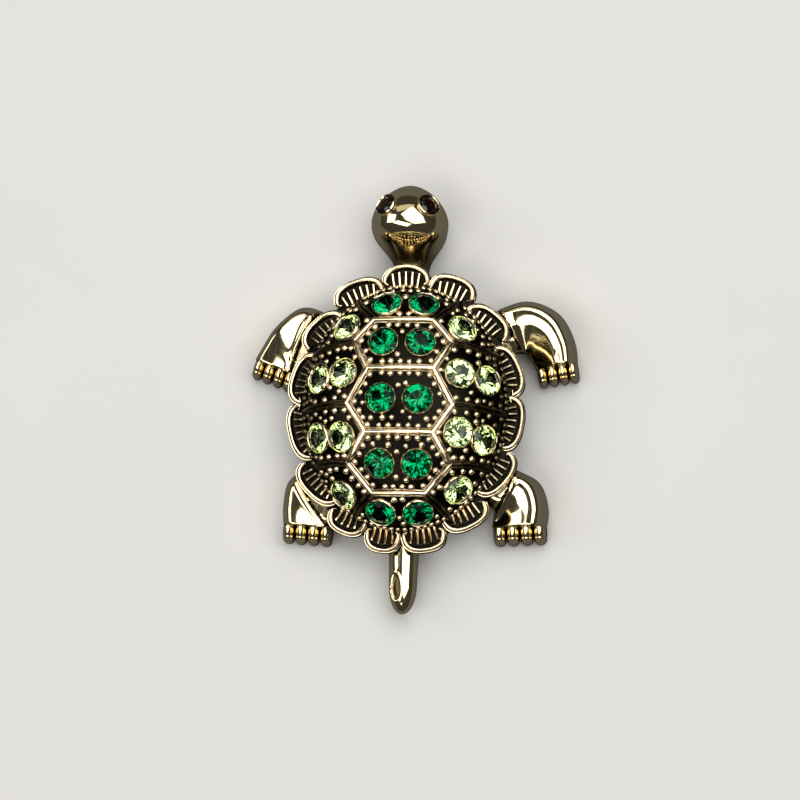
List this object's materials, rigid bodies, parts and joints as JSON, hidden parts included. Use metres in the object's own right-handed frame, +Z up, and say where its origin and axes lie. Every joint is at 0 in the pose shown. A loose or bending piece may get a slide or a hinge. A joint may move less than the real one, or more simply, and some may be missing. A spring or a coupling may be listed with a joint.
{
  "type": "turtle brooch",
  "caption": "Gold-tone turtle brooch with a domed shell of green stones, a scalloped rim and polished head, legs and tail",
  "frame": {"origin": "bottom centre of the brooch's bounding box, on the surface that the paws rest on", "axes": "+Y towards the head, +X towards the turtle's right when it is seen from above, +Z up out of the shell"},
  "size_m": [0.033, 0.0432, 0.0114],
  "materials": {
    "aged_gold": "antique gold plate, blackened in the recesses and bright on the raised lines",
    "polished_gold": "pale gold plate, mirror polished",
    "pin_metal": "plain gold-tone pin hardware, satin",
    "dark_green_glass": "emerald green foiled glass, faceted",
    "pale_green_glass": "light yellow-green foiled glass, faceted",
    "black_glass": "black glass, faceted"
  },
  "bodies": {
    "root": {"shell": "aged_gold", "body": "polished_gold", "pin_fitting": "pin_metal", "dark_stone_1_left": "dark_green_glass", "dark_stone_1_right": "dark_green_glass", "dark_stone_2_left": "dark_green_glass", "dark_stone_2_right": "dark_green_glass", "dark_stone_3_left": "dark_green_glass", "dark_stone_3_right": "dark_green_glass", "dark_stone_4_left": "dark_green_glass", "dark_stone_4_right": "dark_green_glass", "dark_stone_5_left": "dark_green_glass", "dark_stone_5_right": "dark_green_glass", "pale_stone_1_left": "pale_green_glass", "pale_stone_1_right": "pale_green_glass", "pale_stone_2_left": "pale_green_glass", "pale_stone_2_right": "pale_green_glass", "pale_stone_3_left": "pale_green_glass", "pale_stone_3_right": "pale_green_glass", "pale_stone_4_left": "pale_green_glass", "pale_stone_4_right": "pale_green_glass", "pale_stone_5_left": "pale_green_glass", "pale_stone_5_right": "pale_green_glass", "pale_stone_6_left": "pale_green_glass", "pale_stone_6_right": "pale_green_glass", "eye_left": "black_glass", "eye_right": "black_glass"}
  },
  "joints": []
}
